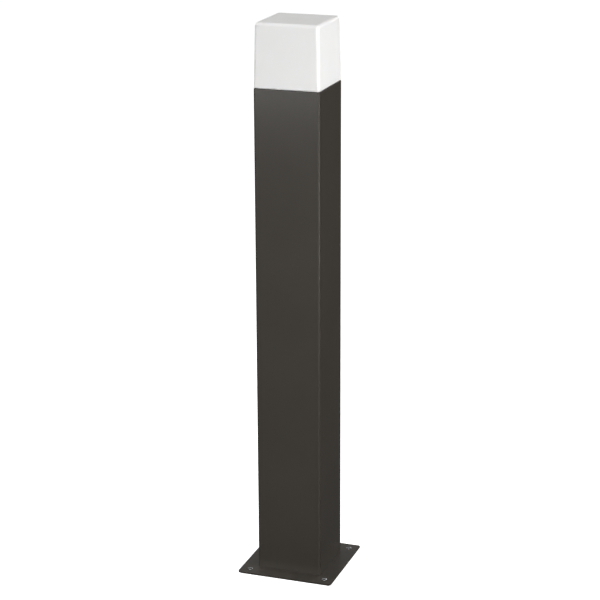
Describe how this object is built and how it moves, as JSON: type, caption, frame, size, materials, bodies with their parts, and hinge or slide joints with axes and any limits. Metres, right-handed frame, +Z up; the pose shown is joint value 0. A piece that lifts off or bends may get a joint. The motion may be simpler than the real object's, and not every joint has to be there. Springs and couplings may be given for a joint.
{
  "type": "bollard light",
  "caption": "Square bollard light: an anthracite column on a drilled base plate, with an opal cube diffuser over a screw-in lamp.",
  "frame": {"origin": "middle of the base plate's underside, on the ground", "axes": "+Z up along the column, -Y the front face, the set screws are in the +Y face"},
  "size_m": [0.142, 0.142, 0.8],
  "materials": {
    "powder_coat": "fine matt powder coat, anthracite with a brown cast",
    "opal": "opal white moulding, satin gloss",
    "lamp_opal": "opal white lamp globe",
    "zinc_steel": "zinc plated",
    "black_steel": "blackened steel",
    "strap_steel": "plain pressed steel, zinc plated",
    "cast_aluminium": "die cast, as cast",
    "pressed_aluminium": "pressed sheet",
    "foam_rubber": "closed cell foam",
    "black_rubber": "moulded rubber",
    "grey_rubber": "moulded rubber",
    "grey_plastic": "textured moulding",
    "gland_plastic": "black nylon",
    "terminal_plastic": "cream nylon",
    "brass": "bright brass",
    "tinned_copper": "tinned",
    "porcelain": "white glazed porcelain",
    "nickel": "nickel plated, rolled thread",
    "black_glass": "black fused insulator",
    "lamp_plastic": "white moulded housing",
    "board_white": "white solder mask on aluminium",
    "phosphor": "yellow phosphor",
    "board_green": "green solder mask",
    "live_sleeve": "brown insulation",
    "neutral_sleeve": "blue insulation",
    "earth_sleeve": "green and yellow insulation"
  },
  "bodies": {
    "bollard": {"base_plate": "powder_coat", "column": "powder_coat", "base_screws": "zinc_steel", "carrier_screws": "zinc_steel", "box_screws": "zinc_steel", "lid_screws": "zinc_steel", "block_screws": "zinc_steel", "terminal_screws": "zinc_steel", "bracket_screws": "zinc_steel", "holder_screws": "zinc_steel", "earth_washer": "zinc_steel", "set_screws": "black_steel", "holder_bracket": "strap_steel", "lamp_carrier": "cast_aluminium", "head_seal": "foam_rubber", "cable_grommet": "black_rubber", "wire_bush": "black_rubber", "lid_seal": "black_rubber", "gland_washer": "grey_rubber", "gland_seal": "grey_rubber", "terminal_box": "grey_plastic", "box_lid": "grey_plastic", "gland_body": "gland_plastic", "gland_locknut": "gland_plastic", "gland_cap": "gland_plastic", "terminal_block": "terminal_plastic", "terminal_inserts": "brass", "earth_screw": "brass", "holder_shell": "brass", "centre_contact": "brass", "holder_rivets": "brass", "earth_terminal": "tinned_copper", "holder_body": "porcelain", "live_wire": "live_sleeve", "neutral_wire": "neutral_sleeve", "earth_wire": "earth_sleeve"},
    "diffuser_cube": {"diffuser": "opal"},
    "lamp_foot": {"lamp_contact": "tinned_copper", "lamp_insulator": "black_glass"},
    "lamp": {"lamp_cap": "nickel", "lamp_housing": "lamp_plastic", "lamp_globe": "lamp_opal", "lamp_heat_sink": "pressed_aluminium", "led_board": "board_white", "led_chips": "phosphor", "driver_board": "board_green"}
  },
  "joints": [
    {"name": "diffuser_lift", "type": "slide", "parent": "bollard", "child": "diffuser_cube", "axis": [0, 0, 1], "range_m": [0, 0.12]},
    {"name": "lamp_rise", "type": "slide", "parent": "bollard", "child": "lamp_foot", "axis": [0, 0, 1], "range_m": [0, 0.016]},
    {"name": "lamp_turn", "type": "hinge", "parent": "lamp_foot", "child": "lamp", "pos_m": [0, 0, 0.7], "axis": [0, 0, 1], "range_deg": [0, 1584]}
  ],
  "couplings": [
    {"joint": "lamp_rise", "follows": "lamp_turn", "m_per_rad": 0.00057757}
  ]
}
